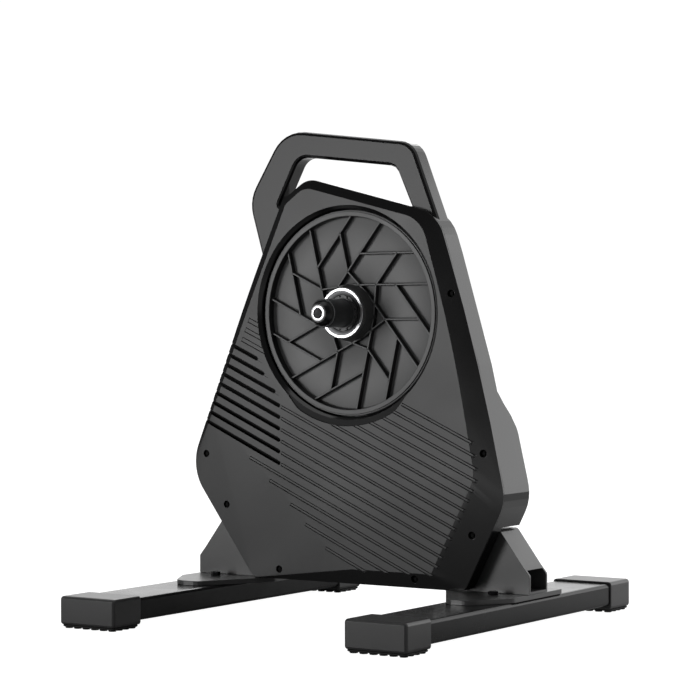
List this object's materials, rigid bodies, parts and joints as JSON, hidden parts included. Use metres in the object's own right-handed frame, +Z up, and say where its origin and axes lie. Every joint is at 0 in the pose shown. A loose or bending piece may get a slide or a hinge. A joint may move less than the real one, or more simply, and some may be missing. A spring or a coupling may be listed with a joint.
{
  "type": "smart bike trainer",
  "caption": "Direct-drive bike trainer: ribbed disc with freehub in a flat black housing with a carrying handle, on two rectangular tube legs.",
  "frame": {"origin": "on the floor, at the centre of the four feet and below the hub axle", "axes": "+Z up, +X across the housing along the width, +Y from the cassette side to the far side, along the hub axle and the legs"},
  "size_m": [0.4848, 0.5288, 0.5957],
  "materials": {
    "cover_plastic": "satin black, fine grain",
    "shell_plastic": "satin black, fine grain",
    "painted_steel": "satin black powder coat",
    "cap_plastic": "satin black",
    "pad_rubber": "matt, ribbed",
    "black_aluminium": "black anodised, satin",
    "polished_steel": "polished",
    "machined_steel": "fine turned",
    "dark_steel": "blackened",
    "cast_iron": "turned and oiled",
    "belt_rubber": "matt, ribbed inside",
    "copper_wire": "enamelled copper winding",
    "board": "green solder mask",
    "inlet": "black moulding"
  },
  "bodies": {
    "frame": {"front_cover": "cover_plastic", "rear_housing": "shell_plastic", "main_plate": "painted_steel", "axle_flange": "painted_steel", "bearing_housing": "painted_steel", "bracket_left": "painted_steel", "bracket_right": "painted_steel", "base_plate_left": "painted_steel", "base_plate_right": "painted_steel", "leg_tube_left": "painted_steel", "leg_tube_right": "painted_steel", "end_cap_front_left": "cap_plastic", "end_cap_front_right": "cap_plastic", "end_cap_rear_left": "cap_plastic", "end_cap_rear_right": "cap_plastic", "foot_pad_front_left": "pad_rubber", "foot_pad_front_right": "pad_rubber", "foot_pad_rear_left": "pad_rubber", "foot_pad_rear_right": "pad_rubber", "dust_cap": "black_aluminium", "axle_spacer": "black_aluminium", "drive_end_cap": "polished_steel", "far_end_cap": "polished_steel", "hub_axle": "machined_steel", "flywheel_bearing": "machined_steel", "brake_core": "dark_steel", "base_bolt_front_left": "dark_steel", "base_bolt_front_right": "dark_steel", "base_bolt_rear_left": "dark_steel", "base_bolt_rear_right": "dark_steel", "bracket_bolt_left": "dark_steel", "bracket_bolt_right": "dark_steel", "cover_screw_1": "dark_steel", "cover_screw_2": "dark_steel", "cover_screw_3": "dark_steel", "cover_screw_4": "dark_steel", "cover_screw_5": "dark_steel", "cover_screw_6": "dark_steel", "cover_screw_7": "dark_steel", "drive_belt": "belt_rubber", "brake_coil_1": "copper_wire", "brake_coil_2": "copper_wire", "brake_coil_3": "copper_wire", "brake_coil_4": "copper_wire", "control_board": "board", "power_inlet": "inlet"},
    "drive_pulley": {"drive_pulley": "black_aluminium", "pulley_hub": "black_aluminium", "pulley_rim": "black_aluminium", "lock_ring": "polished_steel", "hub_seal": "dark_steel", "hub_bearing_front": "machined_steel", "hub_bearing_rear": "machined_steel"},
    "freehub": {"freehub_body": "black_aluminium", "freehub_bearing": "machined_steel"},
    "flywheel": {"flywheel": "cast_iron", "flywheel_shaft": "machined_steel", "flywheel_nut": "dark_steel", "small_pulley": "machined_steel"},
    "idler": {"idler_wheel": "machined_steel"}
  },
  "joints": [
    {"name": "flywheel_spin", "type": "hinge", "parent": "frame", "child": "flywheel", "pos_m": [0, 0, 0.1475], "axis": [0, 1, 0], "continuous": true},
    {"name": "drive_pulley_spin", "type": "hinge", "parent": "frame", "child": "drive_pulley", "pos_m": [0, 0, 0.3725], "axis": [0, 1, 0], "continuous": true},
    {"name": "freehub_spin", "type": "hinge", "parent": "frame", "child": "freehub", "pos_m": [0, 0, 0.3725], "axis": [0, 1, 0], "continuous": true},
    {"name": "idler_spin", "type": "hinge", "parent": "frame", "child": "idler", "pos_m": [0.06187, 0, 0.18378], "axis": [0, 1, 0], "continuous": true}
  ],
  "couplings": [
    {"joint": "drive_pulley_spin", "follows": "flywheel_spin", "ratio": 0.17696},
    {"joint": "idler_spin", "follows": "flywheel_spin", "ratio": -1.5357}
  ]
}
